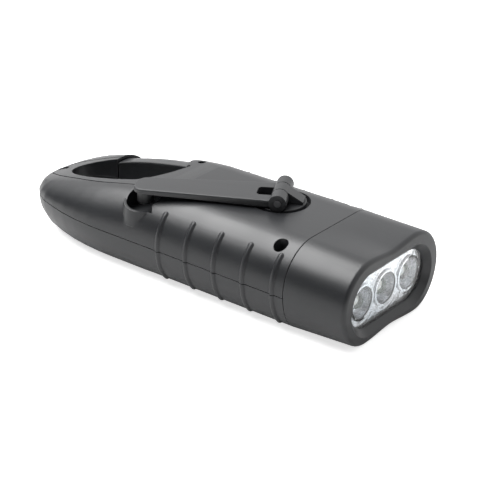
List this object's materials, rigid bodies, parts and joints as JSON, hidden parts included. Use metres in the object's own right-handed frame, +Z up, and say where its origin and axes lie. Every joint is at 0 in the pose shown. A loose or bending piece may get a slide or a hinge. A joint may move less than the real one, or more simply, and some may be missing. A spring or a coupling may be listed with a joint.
{
  "type": "hand crank flashlight",
  "caption": "Dynamo torch with a flat rounded body, folding hand crank on top, lamp window at the front and a snap-gate carabiner ring at the rear.",
  "frame": {"origin": "under the middle of the torch, on the surface that its underside rests on", "axes": "+X to the lamp, +Y to the side with the snap gate, +Z up to the crank"},
  "size_m": [0.1242, 0.0456, 0.0292],
  "materials": {
    "shell_plastic": "moulded ABS, satin",
    "gate_plastic": "moulded ABS, satin",
    "crank_plastic": "moulded nylon, fine texture",
    "lens_clear": "clear polycarbonate",
    "reflector_chrome": "vacuum-plated mirror",
    "led_epoxy": "clear epoxy",
    "circuit_board": "solder mask",
    "dark_component": "moulded",
    "steel": "plated",
    "spring_steel": "bright",
    "bush_brass": "turned",
    "gear_nylon": "natural nylon",
    "magnet_metal": "plated ferrite",
    "coil_copper": "enamelled copper wire",
    "cell_wrap": "shrink sleeve",
    "button_rubber": "matt"
  },
  "bodies": {
    "housing": {"upper_shell": "shell_plastic", "lower_shell": "shell_plastic", "head_bezel": "shell_plastic", "lens": "lens_clear", "reflector": "reflector_chrome", "led_1": "led_epoxy", "led_2": "led_epoxy", "led_3": "led_epoxy", "led_board": "circuit_board", "gate_pin": "steel", "gate_spring": "spring_steel", "hub_bush": "bush_brass", "axle_1": "steel", "axle_2": "steel", "rotor_axle": "steel", "gear_plate": "steel", "plate_screw_1": "steel", "plate_screw_2": "steel", "plate_screw_3": "steel", "plate_screw_4": "steel", "stator_coil": "coil_copper", "stator_yoke": "steel", "main_board": "circuit_board", "switch_body": "dark_component", "cell_1": "cell_wrap", "cell_2": "cell_wrap", "cell_3": "cell_wrap", "cell_contact_front": "spring_steel", "cell_contact_rear": "spring_steel", "case_screw_near": "steel", "case_screw_far": "steel", "nose_screw": "steel"},
    "crank": {"crank_hub": "crank_plastic", "hub_screw": "steel", "drive_gear": "gear_nylon"},
    "arm": {"crank_arm": "crank_plastic", "hinge_pin": "steel", "knob_screw": "steel"},
    "knob": {"crank_knob": "crank_plastic"},
    "gear_1": {"compound_gear_1": "gear_nylon"},
    "gear_2": {"compound_gear_2": "gear_nylon"},
    "rotor": {"rotor_pinion": "gear_nylon", "rotor_magnet": "magnet_metal"},
    "gate": {"carabiner_gate": "gate_plastic"},
    "button": {"power_button": "button_rubber"}
  },
  "joints": [
    {"name": "crank_spin", "type": "hinge", "parent": "housing", "child": "crank", "pos_m": [0.0222, 0.0033, 0.0248], "axis": [0, 0, 1], "range_deg": [0, 100]},
    {"name": "crank_fold", "type": "hinge", "parent": "crank", "child": "arm", "pos_m": [0.0222, 0.0033, 0.0268], "axis": [-0.4726, 0.8813, 0], "range_deg": [0, 180]},
    {"name": "knob_spin", "type": "hinge", "parent": "arm", "child": "knob", "pos_m": [-0.01182, -0.01494, 0.023], "axis": [0, 0, 1], "continuous": true},
    {"name": "gear_1_spin", "type": "hinge", "parent": "housing", "child": "gear_1", "pos_m": [0.00566, -0.00272, 0.0145], "axis": [0, 0, 1], "continuous": true},
    {"name": "gear_2_spin", "type": "hinge", "parent": "housing", "child": "gear_2", "pos_m": [0.01417, -0.00985, 0.012], "axis": [0, 0, 1], "continuous": true},
    {"name": "rotor_spin", "type": "hinge", "parent": "housing", "child": "rotor", "pos_m": [0.01417, -0.00185, 0.008], "axis": [0, 0, 1], "continuous": true},
    {"name": "gate_swing", "type": "hinge", "parent": "housing", "child": "gate", "pos_m": [-0.0137, 0.012, 0.0114], "axis": [0, 0, 1], "range_deg": [0, 25], "stiffness_Nm_per_rad": 0.03, "springref_deg": -8.59},
    {"name": "button_press", "type": "slide", "parent": "housing", "child": "button", "axis": [0, 0, 1], "range_m": [0, 0.001], "stiffness_N_per_m": 300, "springref_m": -0.001}
  ],
  "couplings": [
    {"joint": "gear_1_spin", "follows": "crank_spin", "ratio": -3.4},
    {"joint": "gear_2_spin", "follows": "crank_spin", "ratio": 10.578},
    {"joint": "rotor_spin", "follows": "crank_spin", "ratio": -31.733}
  ]
}
